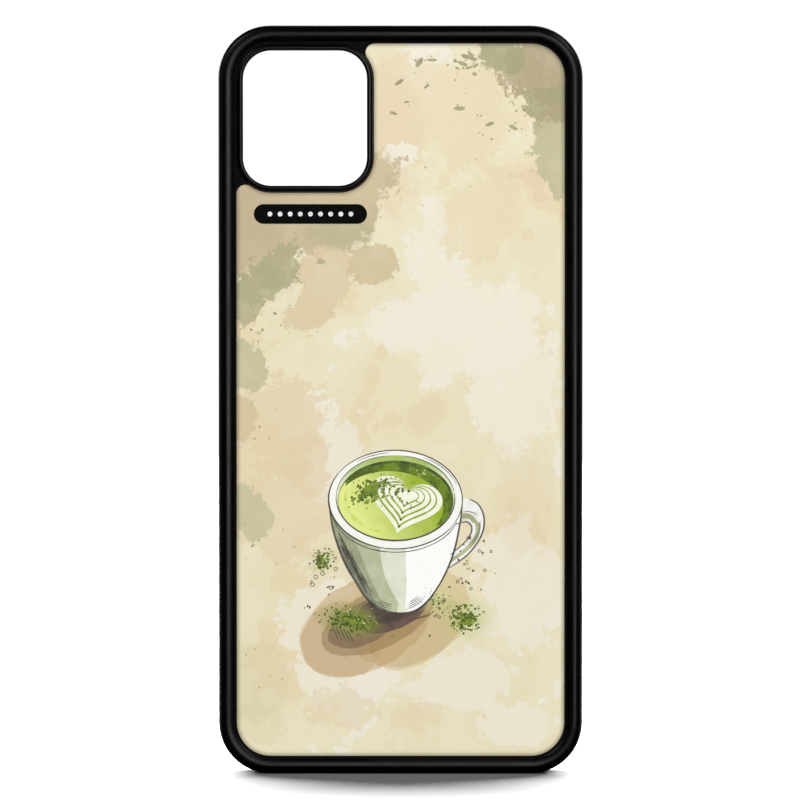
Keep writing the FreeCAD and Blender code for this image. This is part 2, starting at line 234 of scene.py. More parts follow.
def soft_plastic(name, colour, worn_colour, roughness, specular, grain, matte_depth=None):
    """Satin moulded plastic: fine spark-eroded grain, faint flow marks, the polish of hands and hairline
    scratches. A flat that lies at the matte depth along Y is left as coarse as the tool made it."""
    shader = Shader(name, Metallic=0.0, Specular_IOR_Level=specular)
    flow, _ = shader.noise(14, detail=3)
    fine, _ = shader.noise(grain, detail=6, roughness=0.65)
    stretched = shader.vector("MULTIPLY", shader.place, (1.0, 1.0, 0.04))
    scratch, _ = shader.noise(0.12, detail=2, place=stretched, shift=(3.1, 0.7, 9.2))
    scratched = shader.between(scratch, 0.70, 0.78)
    tone = shader.between(flow, 0.35, 0.65, 0.0, 0.6)
    speckle = shader.between(fine, 0.62, 0.74, 0.0, 0.35)
    colour_node = shader.mix(tone, linear(colour), linear(worn_colour))
    shader.set("Base Color", shader.mix(speckle, colour_node, linear(worn_colour)))
    polish = shader.between(flow, 0.3, 0.7, roughness - 0.05, roughness + 0.06)
    rough = shader.math("ADD", polish, shader.math("MULTIPLY", scratched, 0.08))
    if matte_depth is not None:
        away = shader.math("ABSOLUTE", shader.math("SUBTRACT", shader.axis("Y"), matte_depth))
        rough = shader.math("ADD", rough, shader.between(away, 0.02, 0.06, 0.5, 0.0), clamp=True)
    shader.set("Roughness", rough)
    grain_bump = shader.bump(fine, 0.004)
    shader.set("Normal", shader.bump(scratched, -0.002, grain_bump))
    return shader.material


def brushed_metal(name):
    """Bare aluminium, as rolled: fine lines along the sheet, and small dull patches."""
    shader = Shader(name, Metallic=1.0)
    lined = shader.vector("MULTIPLY", shader.place, (1.0, 1.0, 0.02))
    lines, _ = shader.noise(0.10, detail=3, place=lined)
    cloud, _ = shader.noise(6, detail=4)
    bright = shader.mix(lines, linear("C9CACC"), linear("E4E5E6"))
    shader.set("Base Color", shader.mix(shader.between(cloud, 0.45, 0.7, 0, 0.4), bright, linear("B4B5B8")))
    shader.set("Roughness", shader.between(lines, 0.2, 0.8, 0.28, 0.45))
    shader.set("Normal", shader.bump(lines, 0.002))
    return shader.material


def adhesive_film(name):
    """Milky double-sided sheet with fine bubbles."""
    shader = Shader(name, Roughness=0.55)
    bubbles = shader.cells(0.8)
    cloud, _ = shader.noise(3, detail=4)
    milky = shader.mix(cloud, linear("DEDBCF"), linear("EFEDE6"))
    shader.set("Base Color", shader.mix(shader.between(bubbles, 0.0, 0.15, 0.3, 0), milky, linear("C8C4B4")))
    shader.set("Normal", shader.bump(bubbles, 0.01))
    return shader.material


# The ground's base: flat tones that step from one to the next as broad noise rises.
GROUND_STEPS = [
    (0.00, CREAM),
    (0.405, CREAM),
    (0.415, PALE_LIME),
    (0.50, PALE_LIME),
    (0.51, "EAE0BF"),
    (0.57, "EAE0BF"),
    (0.58, BEIGE),
    (0.64, BEIGE),
    (0.655, BLUSH),
]

# Each wash: centre as shares of the panel's width and height, half-sizes in mm, turn in degrees, colour,
# strength, how ragged its edge is, and how soft.
WASHES = [
    # light ground
    (0.72, 0.60, 16.0, 10.0, 10, CREAM, 0.95, 0.50, 0.03),
    (0.62, 0.69, 6.5, 11.0, 0, CREAM, 0.90, 0.50, 0.03),
    (0.85, 0.51, 10.0, 13.0, 20, CREAM, 0.90, 0.50, 0.03),
    (0.50, 0.605, 9.0, 5.0, 20, CREAM, 0.90, 0.45, 0.03),
    (0.86, 0.24, 9.0, 13.0, 0, CREAM, 0.80, 0.55, 0.04),
    (0.27, 0.16, 8.0, 14.0, 15, CREAM, 0.85, 0.50, 0.04),
    (0.70, 0.11, 13.0, 6.0, 10, CREAM, 0.80, 0.50, 0.04),
    (0.85, 0.045, 9.0, 4.5, 0, CREAM, 0.80, 0.50, 0.04),
    (0.25, 0.49, 3.4, 4.2, 30, CREAM, 0.85, 0.40, 0.03),
    (0.30, 0.42, 5.0, 9.0, -10, CREAM, 0.80, 0.50, 0.05),
    # beige and blush
    (0.60, 0.90, 19.0, 12.0, 0, BEIGE, 0.85, 0.45, 0.05),
    (0.47, 0.87, 6.0, 15.0, 0, BLUSH, 0.50, 0.40, 0.25),
    (0.74, 0.75, 9.0, 8.0, 30, BEIGE, 0.80, 0.50, 0.05),
    (0.12, 0.47, 10.0, 10.0, 0, PEACH, 0.70, 0.50, 0.05),
    (0.13, 0.33, 11.0, 8.0, 20, PEACH, 0.55, 0.50, 0.05),
    (0.20, 0.41, 5.0, 6.0, 0, PEACH, 0.70, 0.45, 0.04),
    (0.58, 0.48, 4.5, 3.4, 40, PEACH, 0.45, 0.45, 0.12),
    (0.32, 0.065, 7.0, 4.0, 0, PEACH, 0.50, 0.50, 0.04),
    (0.56, 0.055, 6.0, 3.0, 10, PEACH, 0.45, 0.55, 0.04),
    (0.88, 0.36, 6.0, 12.0, 0, BLUSH, 0.30, 0.40, 0.20),
    (0.46, 0.835, 1.5, 3.8, -20, CREAM, 0.95, 0.45, 0.05),
    (0.515, 0.845, 2.3, 2.6, 10, CREAM, 0.95, 0.55, 0.05),
    (0.60, 0.855, 2.0, 2.4, 0, PALE_LIME, 0.60, 0.50, 0.10),
    (0.60, 0.755, 2.6, 4.2, 15, CREAM, 0.60, 0.50, 0.08),
    # tan and olive, upper left
    (0.20, 0.775, 19.5, 11.4, 14, TAN, 0.95, 0.36, 0.05),
    (0.05, 0.72, 6.5, 9.0, 0, TAN, 0.90, 0.40, 0.06),
    (0.36, 0.80, 9.0, 6.0, 30, LIGHT_TAN, 0.70, 0.45, 0.10),
    (0.25, 0.655, 5.6, 9.4, -35, "DCCAA4", 0.95, 0.30, 0.05),
    (0.42, 0.69, 4.6, 4.0, 30, LIGHT_TAN, 0.92, 0.45, 0.03),
    (0.04, 0.80, 8.0, 11.0, 0, DARK_TAN, 0.55, 0.30, 0.35),
    (0.32, 0.735, 6.5, 3.4, 0, OLIVE, 0.45, 0.35, 0.30),
    (0.10, 0.675, 8.6, 4.2, 28, DARK_OLIVE, 0.95, 0.55, 0.03),
    (0.02, 0.645, 4.0, 4.6, 0, OLIVE, 0.85, 0.50, 0.05),
    (0.155, 0.645, 4.0, 2.0, 40, PALE_LIME, 0.85, 0.60, 0.04),
    (0.03, 0.55, 4.2, 6.6, 0, PALE_OLIVE, 0.85, 0.55, 0.03),
    # tan and olive, upper right
    (0.955, 0.965, 9.4, 7.6, 0, SHADED_TAN, 0.95, 0.36, 0.04),
    (0.80, 0.985, 6.2, 4.4, -10, SHADED_OLIVE, 0.92, 0.40, 0.08),
    (0.965, 0.915, 5.6, 4.2, 0, SHADED_OLIVE, 0.95, 0.45, 0.03),
    (0.980, 0.885, 5.2, 4.0, 0, SHADED_TAN, 0.75, 0.40, 0.06),
    (0.985, 0.840, 6.0, 7.6, 12, PALE_OLIVE, 0.95, 0.32, 0.03),
    # small olive marks, left and bottom
    (0.04, 0.335, 4.2, 6.0, 0, "C4BF98", 0.85, 0.50, 0.03),
    (0.02, 0.475, 2.6, 5.0, 0, LIGHT_TAN, 0.80, 0.50, 0.04),
    (0.05, 0.105, 8.0, 8.5, 0, "DDD4AC", 0.55, 0.35, 0.03),
    (0.06, 0.045, 6.0, 4.0, 0, LIGHT_TAN, 0.20, 0.40, 0.04),
]


# How strongly the broad and the fine noise move an edge, for each unit of raggedness.
BROAD_RAGGEDNESS = 6.0
FINE_RAGGEDNESS = 1.6


def ragged_ellipse(shader, edges, index, centre, half_sizes, turn, ragged, soft):
    """1 where the place lies inside a turned ellipse with a ragged, coastline-like edge, and 0 outside."""
    broad_fields, fine_fields = edges
    offset = shader.vector("SUBTRACT", shader.place, (centre[0], 0.0, centre[1]))
    a = math.radians(turn)
    across = (math.cos(a) / half_sizes[0], 0.0, math.sin(a) / half_sizes[0])
    up = (-math.sin(a) / half_sizes[1], 0.0, math.cos(a) / half_sizes[1])
    u = shader.vector("DOT_PRODUCT", offset, across)
    v = shader.vector("DOT_PRODUCT", offset, up)
    square = shader.math("ADD", shader.math("MULTIPLY", u, u), shader.math("MULTIPLY", v, v))
    reach = shader.math("SQRT", square)
    broad = broad_fields[index % len(broad_fields)]
    fine = fine_fields[index % len(fine_fields)]
    wobble = shader.math("MULTIPLY", shader.math("SUBTRACT", broad, 0.5), ragged * BROAD_RAGGEDNESS)
    tear = shader.math("MULTIPLY", shader.math("SUBTRACT", fine, 0.5), ragged * FINE_RAGGEDNESS)
    edge_reach = shader.math("ADD", shader.math("ADD", reach, wobble), tear)
    return shader.between(edge_reach, 1 - soft, 1 + soft, 1.0, 0.0)


def panel_place(share_x, share_z):
    """A place on the film, in mm, from shares of its width and height."""
    return (
        FILM_LOW.x + share_x * (FILM_HIGH.x - FILM_LOW.x),
        FILM_LOW.z + share_z * (FILM_HIGH.z - FILM_LOW.z),
    )


# The centre of the mug's rim.
MUG = panel_place(0.4845, 0.3607)

# The drawn shadow under the mug and the green stains round the spilt powder: offset from the rim's centre,
# half-sizes, turn, colour, strength and softness. Their edges are nearly smooth.
SHADOW_RAGGED = 0.04
MUG_SHADOWS = [
    (5.0, -25.2, 12.5, 7.8, 45, "D6BC86", 0.60, 0.015),
    (-6.0, -25.9, 14.8, 9.4, 30, "C4A36C", 0.60, 0.015),
    (-11.2, -29.3, 8.8, 8.0, 15, "BE9B66", 0.35, 0.015),
    (3.0, -27.5, 12.0, 6.5, 20, "B89A68", 0.35, 0.015),
    (-3.5, -25.0, 12.5, 6.0, 25, "8C6E44", 0.55, 0.015),
    (-6.0, -25.5, 8.8, 4.2, 28, "664C3C", 0.60, 0.02),
    (-1.0, -23.3, 7.8, 3.9, 20, "4E393B", 0.85, 0.02),
    (-9.3, -25.2, 5.6, 2.9, -8, "8B9440", 0.75, 0.60),
    (14.2, -24.6, 5.0, 3.6, -20, "BCC679", 0.55, 0.70),
    (8.6, -20.6, 3.4, 2.0, 20, "C9D08E", 0.50, 0.70),
    (-15.2, -12.6, 2.8, 2.2, 30, "C3CB85", 0.50, 0.70),
]


def outside(x, z, low, high, radius):
    """Distance from a rounded rectangle's outline to a point: negative inside it."""
    u = max(abs(x - (low[0] + high[0]) / 2) - (high[0] - low[0]) / 2 + radius, 0.0)
    w = max(abs(z - (low[1] + high[1]) / 2) - (high[1] - low[1]) / 2 + radius, 0.0)
    return math.hypot(u, w) - radius


def rounded_distance(shader, low, high, radius):
    """Distance in mm from a rounded rectangle's outline in the panel's plane: negative inside it."""
    middle = ((low[0] + high[0]) / 2, 0.0, (low[1] + high[1]) / 2)
    core = ((high[0] - low[0]) / 2 - radius, 1000.0, (high[1] - low[1]) / 2 - radius)
    offset = shader.vector("ABSOLUTE", shader.vector("SUBTRACT", shader.place, middle))
    beyond = shader.vector("MAXIMUM", shader.vector("SUBTRACT", offset, core), (0.0, 0.0, 0.0))
    return shader.math("SUBTRACT", shader.vector("LENGTH", beyond), radius)


def painted_recess_shade(shader):
    """How much painted shade darkens the print's colour towards the recess wall and the camera collar."""
    rim = rounded_distance(shader, (FILM_LOW.x, FILM_LOW.z), (FILM_HIGH.x, FILM_HIGH.z), FILM_CORNER_R)
    collar = rounded_distance(shader, COLLAR_LOW, COLLAR_HIGH, COLLAR_R)
    near_rim = shader.between(rim, -BORDER_FADE, 0.0, 0.0, 1.0)
    near_collar = shader.between(collar, 0.0, BORDER_FADE, 1.0, 0.0)
    nearer = shader.math("MAXIMUM", near_rim, near_collar)
    return shader.math("MULTIPLY", shader.math("POWER", nearer, BORDER_POWER), BORDER_PAINTED_SHADE)


def print_shader(name):
    """A shader with the printed surface's gloss."""
    return Shader(
        name,
        Specular_IOR_Level=PRINT_SPECULAR,
        Coat_Weight=PRINT_COAT,
        Coat_Roughness=PRINT_COAT_ROUGHNESS,
    )


def printed_film(name):
    """The glossy film and its watercolour ground: flat tones, ragged washes, the mug's drawn shadow, and
    painted shade at the border.
    """
    shader = print_shader(name)
    broad, _ = shader.noise(24, detail=7, roughness=0.6, distortion=0.5, shift=(4, 0, 11))
    _, coast = shader.noise(9, detail=9, roughness=0.68, distortion=0.2, shift=(31, 0, 7))
    _, shore = shader.noise(5, detail=8, roughness=0.72, distortion=0.1, shift=(2, 0, 57))
    _, torn = shader.noise(1.1, detail=4, roughness=0.7, shift=(12, 0, 5))
    broad_fields = [field for pair in zip(shader.channels(coast), shader.channels(shore)) for field in pair]
    edges = (broad_fields, shader.channels(torn))
    _, cloud = shader.noise(5.5, detail=5, roughness=0.55, distortion=0.4, shift=(7, 0, 21))
    clouds = shader.channels(cloud)
    mottle, _ = shader.noise(1.6, detail=5, roughness=0.7, shift=(9, 0, 3))

    colour = shader.ramp(broad, GROUND_STEPS)
    for index, (x, z, rx, rz, turn, code, strength, ragged, soft) in enumerate(WASHES):
        mask = ragged_ellipse(shader, edges, index, panel_place(x, z), (rx, rz), turn, ragged, soft)
        fading = shader.between(clouds[index % len(clouds)], 0.36, 0.56, 0.85 * strength, strength)
        colour = shader.mix(shader.math("MULTIPLY", mask, fading), colour, linear(code))
    for index, (dx, dz, rx, rz, turn, code, strength, soft) in enumerate(MUG_SHADOWS):
        centre = (MUG[0] + dx, MUG[1] + dz)
        mask = ragged_ellipse(shader, edges, index, centre, (rx, rz), turn, SHADOW_RAGGED, soft)
        colour = shader.mix(shader.math("MULTIPLY", mask, strength), colour, linear(code))
    grain = shader.between(mottle, 0.35, 0.65, 0.0, 0.05)
    colour = shader.mix(grain, colour, linear("D8CDA8"))
    # Painted shade: the colour darkens along the recess wall and the collar, where the rim's shade falls.
    shader.set("Base Color", shader.mix(painted_recess_shade(shader), colour, linear("7A7058"), "MULTIPLY"))
    texture, _ = shader.noise(0.25, detail=4, roughness=0.6)
    shader.set("Roughness", shader.between(mottle, 0.3, 0.7, *PRINT_ROUGHNESS))
    shader.set("Normal", shader.bump(texture, PRINT_GRAIN_DEPTH))
    return shader.material


def badge_gloss(name):
    """Solid black print with faint dust in it."""
    shader = Shader(name, Specular_IOR_Level=0.02)
    cloud, _ = shader.noise(2.0, detail=5)
    dust, _ = shader.noise(0.15, detail=3)
    dusty = shader.between(dust, 0.6, 0.75, 0, 0.5)
    shader.set("Base Color", shader.mix(dusty, linear("020202"), linear("0A0A0A")))
    shader.set("Roughness", shader.between(cloud, 0.3, 0.7, 0.18, 0.26))
    shader.set("Normal", shader.bump(dust, 0.001))
    return shader.material


def dress_cad_nodes():
    frame_material = soft_plastic("black_soft_frame", "040404", "09090A", 0.33, 0.50, 0.18, CORNER_WEB_Y)
    tray_material = soft_plastic("black_hard_tray", "0E0E0F", "1A1A1C", 0.46, 0.50, 0.12)
    key_material = soft_plastic("black_keys", "0A0A0A", "141415", 0.30, 0.50, 0.10)
    looks = {
        "bumper_frame": frame_material,
        "back_tray": tray_material,
        "adhesive_sheet": adhesive_film("milky_adhesive"),
        "aluminium_panel": brushed_metal("rolled_aluminium"),
        "print_film": printed_film("watercolour_print"),
        "badge_label": badge_gloss("badge_black_gloss"),
        "side_key": key_material,
        "volume_up_key": key_material,
        "volume_down_key": key_material,
    }
    for node, material in looks.items():
        CAD[node].data.materials.clear()
        CAD[node].data.materials.append(material)


# The printed drawing ------------------------------------------------------------------------------
SEED = 7


def turned(centre, degrees, u, v):
    """The place at (u, v) from a centre, along axes that are turned by the given angle."""
    t = math.radians(degrees)
    return (centre[0] + u * math.cos(t) - v * math.sin(t), centre[1] + u * math.sin(t) + v * math.cos(t))


def ellipse(centre, a, b, turn=0.0, start=0.0, end=360.0, steps=72):
    """Points on a turned ellipse, from one angle to another in degrees. A whole turn doesn't repeat its first
    point."""
    whole = abs(end - start) >= 360.0
    points = []
    for i in range(steps if whole else steps + 1):
        angle = math.radians(start + (end - start) * i / steps)
        points.append(turned(centre, turn, a * math.cos(angle), b * math.sin(angle)))
    return points


def smooth(points, per_span=8, closed=False):
    """A Catmull-Rom line through the points."""
    n = len(points)
    spans = n if closed else n - 1

    def pick(i):
        return points[i % n] if closed else points[min(max(i, 0), n - 1)]

    line = []
    for i in range(spans):
        p0, p1, p2, p3 = (Vector(pick(i + k)) for k in (-1, 0, 1, 2))
        for j in range(per_span):
            t = j / per_span
            square = 2 * p0 - 5 * p1 + 4 * p2 - p3
            cube = 3 * p1 - p0 - 3 * p2 + p3
            spot = 0.5 * (2 * p1 + (p2 - p0) * t + square * t**2 + cube * t**3)
            line.append((spot.x, spot.y))
    if not closed:
        line.append(tuple(points[-1]))
    return line


def make_piece(name, mesh, material):
    """Turns a finished bmesh into an object of one material."""
    bmesh.ops.recalc_face_normals(mesh, faces=mesh.faces)
    data = bpy.data.meshes.new(name)
    mesh.to_mesh(data)
    mesh.free()
    data.materials.append(material)
    piece = bpy.data.objects.new(name, data)
    bpy.context.scene.collection.objects.link(piece)
    return piece


# How much smaller a scattered chip gets with each spread's distance from the middle of its cloud.
SCATTER_THINNING = 0.6


class InkLayer:
    """Flat shapes in one ink, made into one mesh of thin closed slabs that stand on the film."""

    height = 0.0
    pieces = []

    def __init__(self, name, material, origin=None):
        self.name, self.material = name, material
        self.origin = origin or MUG
        self.base = InkLayer.height + INK_STEP
        self.level = 0
        self.levels = []
        self.mesh = bmesh.new()

    def settle(self, outline):
        """Puts the next shape on the lowest level where its box meets no other shape's."""
        xs, zs = [p[0] for p in outline], [p[1] for p in outline]
        box = (min(xs), min(zs), max(xs), max(zs))
        for self.level, taken in enumerate(self.levels):
            if all(box[0] > b[2] or box[2] < b[0] or box[1] > b[3] or box[3] < b[1] for b in taken):
                taken.append(box)
                return
        self.level = len(self.levels)
        self.levels.append([box])

    def corner_pair(self, point):
        """One corner of a slab: its vertex on top, at the shape's level, and the one on the film below it."""
        x, z = (self.origin[0] + point[0]) * MM, (self.origin[1] + point[1]) * MM
        top = FILM_LOW.y - self.base - self.level * LEVEL_STEP
        return self.mesh.verts.new((x, top * MM, z)), self.mesh.verts.new((x, FILM_LOW.y * MM, z))

    def fill(self, outline):
        """A slab of the given outline."""
        self.settle(outline)
        pairs = [self.corner_pair(p) for p in outline]
        self.mesh.faces.new([top for top, _ in pairs])
        self.mesh.faces.new([bottom for _, bottom in reversed(pairs)])
        for (t0, b0), (t1, b1) in zip(pairs, pairs[1:] + pairs[:1]):
            self.mesh.faces.new((t0, b0, b1, t1))

    def stroke(self, line, width, ends=0.15):
        """A pen line of the given width at its middle, which narrows to the given share of it at its ends."""
        self.settle(line)
        n = len(line)
        rows = []
        for i, point in enumerate(line):
            before, after = Vector(line[max(i - 1, 0)]), Vector(line[min(i + 1, n - 1)])
            along = (after - before).normalized()
            side = Vector((-along.y, along.x))
            swell = math.sin(math.pi * i / (n - 1)) ** 0.6
            half = side * width / 2 * (ends + (1.0 - ends) * swell)
            spot = Vector(point)
            rows.append((self.corner_pair(spot + half), self.corner_pair(spot - half)))
        for ((lt0, lb0), (rt0, rb0)), ((lt1, lb1), (rt1, rb1)) in zip(rows, rows[1:]):
            self.mesh.faces.new((lt0, lt1, rt1, rt0))
            self.mesh.faces.new((lb0, rb0, rb1, lb1))
            self.mesh.faces.new((lt0, lb0, lb1, lt1))
            self.mesh.faces.new((rt0, rt1, rb1, rb0))
        for (lt, lb), (rt, rb) in (rows[0], rows[-1]):
            self.mesh.faces.new((lt, rt, rb, lb))

    def ring(self, centre, radius, width, steps=14):
        """A small drawn circle."""
        self.settle(ellipse(centre, radius, radius, steps=4))
        outer = [self.corner_pair(p) for p in ellipse(centre, radius, radius, steps=steps)]
        inner = [self.corner_pair(p) for p in ellipse(centre, radius - width, radius - width, steps=steps)]
        for i in range(steps):
            j = (i + 1) % steps
            for level in (0, 1):
                self.mesh.faces.new((outer[i][level], outer[j][level], inner[j][level], inner[i][level]))
            self.mesh.faces.new((outer[i][0], outer[i][1], outer[j][1], outer[j][0]))
            self.mesh.faces.new((inner[i][0], inner[i][1], inner[j][1], inner[j][0]))

    def crumb(self, rng, centre, size, stretch=1.6):
        """A small uneven chip."""
        turn = rng.uniform(0, 180)
        corners = rng.randint(5, 8)
        rough = ellipse(centre, size / 2 * rng.uniform(1, stretch), size / 2, turn, steps=corners)
        chip = []
        for x, z in rough:
            pull = rng.uniform(0.7, 1.25)
            chip.append((centre[0] + (x - centre[0]) * pull, centre[1] + (z - centre[1]) * pull))
        self.fill(chip)

    def scatter(self, rng, centre, spread, turn, count, sizes):
        """Chips in a cloud that thins out from its middle, with the largest near the middle."""
        for _ in range(count):
            u, v = rng.gauss(0, 1), rng.gauss(0, 1)
            spot = turned(centre, turn, u * spread[0], v * spread[1])
            size = rng.uniform(*sizes) / (1 + SCATTER_THINNING * math.hypot(u, v))
            self.crumb(rng, spot, size)

    def finish(self):
        """Makes the layer's piece. The next layer starts above it."""
        top = self.base + len(self.levels) * LEVEL_STEP
        InkLayer.height = max(InkLayer.height, top)
        piece = make_piece(self.name, self.mesh, self.material)
        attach(piece, CASE_BODY)
        InkLayer.pieces.append(piece)
        return piece


def ink_material(name, light, dark, size=3.0, edge=(0.42, 0.6), turn=None, span=None):
    """Printed ink: two tones in soft patches, with a fine print grain. Given a turn and a span, the tones
    change across the mug too, in that direction and over that stretch from the middle of its rim."""
    shader = print_shader(name)
    patch, _ = shader.noise(size, detail=6, roughness=0.6, shift=(len(name), 0, size))
    blend = shader.between(patch, *edge)
    if span:
        a = math.radians(turn)
        from_mug = shader.vector("SUBTRACT", shader.place, (MUG[0], 0, MUG[1]))
        run = shader.vector("DOT_PRODUCT", from_mug, (math.cos(a), 0, math.sin(a)))
        across = shader.between(run, *span)
        wobble = shader.math("MULTIPLY", shader.math("SUBTRACT", patch, 0.5), 0.8)
        blend = shader.math("ADD", across, wobble, clamp=True)
    grain, _ = shader.noise(0.3, detail=3, roughness=0.6)
    colour = shader.mix(blend, linear(light), linear(dark))
    shader.set("Base Color", shader.mix(shader.between(grain, 0.5, 0.8, 0, 0.12), colour, linear(dark)))
    shader.set("Roughness", shader.between(patch, 0.3, 0.7, *PRINT_ROUGHNESS))
    shader.set("Normal", shader.bump(grain, PRINT_GRAIN_DEPTH))
    return shader.material


# The mug, in mm from the centre of its rim. Ellipses are a centre and two half-sizes.
RIM_TURN = -1.0
RIM = ((0.0, 0.0), 13.9, 10.25)
RIM_INSIDE = ((0.0, 0.3), 12.35, 8.9)
WALL_SHADOW = ((0.05, -0.1), 12.0, 8.2)
TEA = ((-0.1, -0.45), 11.85, 8.0)
TEA_LIT = ((-1.2, -1.55), 11.15, 7.45)
TEA_GLOW = ((0.4, 0.0), 10.85, 7.1)
BODY_LEFT = [(-13.85, -0.3), (-12.9, -6.5), (-10.6, -13.0), (-8.0, -17.5), (-6.2, -20.3)]
BODY_FOOT = [(-6.2, -20.3), (-3.5, -22.7), (0.3, -23.7), (4.0, -23.2), (6.9, -20.9)]
BODY_RIGHT = [(6.9, -20.9), (9.3, -17.4), (11.3, -13.3), (12.5, -9.5), (13.5, -4.4), (13.9, -0.6)]
HANDLE_OUTSIDE = [
    (12.6, 0.2), (15.4, 0.1), (17.2, -1.0), (18.35, -3.4),
    (18.2, -6.5), (16.8, -9.3), (14.6, -11.8), (11.2, -14.2),
]
HANDLE_INSIDE = [(11.4, -11.5), (14.3, -9.0), (15.6, -7.2), (15.8, -5.6), (14.7, -4.6), (12.4, -5.2)]
HANDLE_SHADES = [
    [
        (16.6, -4.6), (16.6, -7.0), (14.9, -9.6), (11.8, -12.2),
        (11.3, -13.2), (14.6, -11.0), (17.0, -8.3), (17.7, -5.4),
    ],
    [(13.8, -3.0), (15.4, -3.0), (16.9, -4.4), (16.2, -4.9), (15.2, -4.0), (13.8, -4.0)],
]

# Bands of shade on the mug's left side: name, two tones, how many points of the left edge it leaves out, how
# many of the foot it takes in, and its right edge from the foot up.
BODY_TONES = [
    (
        "mug_body_mint", "E5E9D3", "DBE0C8", 0, 22,
        [(2.0, -22.6), (2.3, -17.5), (2.1, -12.5), (2.3, -7.0)],
    ),
    (
        "mug_body_sage", "C2C6A6", "B6BB98", 0, 17,
        [(0.6, -21.5), (-1.6, -17.5), (-2.9, -13.0), (-3.4, -8.0)],
    ),
    (
        "mug_body_deep_sage", "A6AC8A", "959B7A", 0, 13,
        [(-3.5, -20.0), (-5.6, -15.6), (-7.4, -11.0), (-9.2, -7.0), (-10.8, -4.5)],
    ),
    (
        "mug_body_dark", "868C76", "707660", 10, 9,
        [(-5.4, -19.2), (-7.7, -15.4), (-9.7, -11.5), (-11.4, -8.0)],
    ),
]


def print_shape(name, material, *outlines):
    """Fills outlines in one ink, as one layer."""
    layer = InkLayer(name, material)
    for outline in outlines:
        layer.fill(outline)
    layer.finish()


def draw_mug():
    """The mug from back to front: handle, body with its bands of shade, rim, inner wall and tea."""
    handle_white = ink_material("handle_white", "F5F6F1", "DDE3D3", 4, (0.45, 0.7))
    print_shape("mug_handle", handle_white, smooth(HANDLE_OUTSIDE) + smooth(HANDLE_INSIDE))
    handle_sage = ink_material("handle_sage", "C0C19B", "A9AA80", 4)
    print_shape("mug_handle_shade", handle_sage, *(smooth(shade, closed=True) for shade in HANDLE_SHADES))

    left, foot, right = smooth(BODY_LEFT), smooth(BODY_FOOT), smooth(BODY_RIGHT)
    body_white = ink_material("body_white", "FFFFFC", "F3F5EE", 6, (0.5, 0.7))
    print_shape("mug_body", body_white, left[:-1] + foot[:-1] + right)
    for name, light, dark, left_out, foot_points, right_edge in BODY_TONES:
        outline = left[left_out:-1] + foot[:foot_points] + smooth(right_edge)
        print_shape(name, ink_material(name + "_ink", light, dark, 4), outline)

    rim_white = ink_material("rim_white", "FBFBF4", "E6E8D2", 5, (0.5, 0.75))
    print_shape("mug_rim", rim_white, ellipse(*RIM, RIM_TURN))
    wall_green = ink_material("wall_green", "E4EBC9", "A9C164", turn=90, span=(3.0, 8.5))
    print_shape("mug_inner_wall", wall_green, ellipse(*RIM_INSIDE, RIM_TURN))
    wall_shadow = ink_material("wall_shadow", "3C4A1C", "5C7420", 2)
    print_shape("mug_inner_shadow", wall_shadow, ellipse(*WALL_SHADOW, RIM_TURN))
    tea_green = ink_material("tea_green", "E6EE8E", "9AB426", 5, turn=25, span=(-11.0, 9.0))
    print_shape("mug_tea", tea_green, ellipse(*TEA, RIM_TURN))
    far_edge = ellipse(*TEA, RIM_TURN, 150.0, -35.0, 48)
    near_edge = ellipse(*TEA_LIT, RIM_TURN, -32.0, 146.0, 48)
    print_shape("mug_tea_deep", ink_material("tea_deep_green", "6F8A1B", "4C6212", 3), far_edge + near_edge)
    glow = InkLayer("mug_tea_glow", ink_material("tea_glow", "E3EA93", "CFDB62", 2))
    glow.stroke(ellipse(*TEA_GLOW, RIM_TURN, 168.0, 262.0, 40), 0.8)
    glow.finish()


# The milk is poured as a plain heart, drawn in line with the tea's surface. Each vein is a smaller heart,
# given by its share of the full size and the width of its line.
HEART_CENTRE = (1.7, -1.7)
HEART_WIDTH = 15.2
HEART_HEIGHT = 11.6
HEART_TURN = -14.0
HEART_VEINS = ((0.83, 0.42), (0.66, 0.42), (0.49, 0.38), (0.32, 0.34))

# The usual heart curve, before it is scaled: its width and height, and how high its notch and its middle are.
CURVE_WIDTH = 32.0
CURVE_HEIGHT = 29.0
CURVE_NOTCH = 5.0
CURVE_MIDDLE = -2.6


def heart(size, start=0.0, end=360.0, steps=72):
    """Points on a heart of the given share of its full size. It hangs from its notch, where angles start."""
    points = []
    for i in range(steps):
        angle = math.radians(start + (end - start) * i / (steps if end - start >= 360.0 else steps - 1))
        across = 16 * math.sin(angle) ** 3
        up = 13 * math.cos(angle) - 5 * math.cos(2 * angle) - 2 * math.cos(3 * angle) - math.cos(4 * angle)
        u = size * across / CURVE_WIDTH * HEART_WIDTH
        v = (size * (up - CURVE_NOTCH) + CURVE_NOTCH - CURVE_MIDDLE) / CURVE_HEIGHT * HEART_HEIGHT
        points.append(turned(HEART_CENTRE, HEART_TURN, u, v))
    return points


def draw_foam():
    """Poured milk: a heart with nested green lines that hang from its notch."""
    print_shape("tea_foam", ink_material("foam_cream", "FCFCEF", "F2F5D6", 2), heart(1.0))
    veins = InkLayer("tea_foam_veins", ink_material("vein_green", "A3B743", "87A02E", 2))
    for size, width in HEART_VEINS:
        veins.stroke(heart(size, 28.0, 332.0, 64), width, 0.15)
    veins.finish()


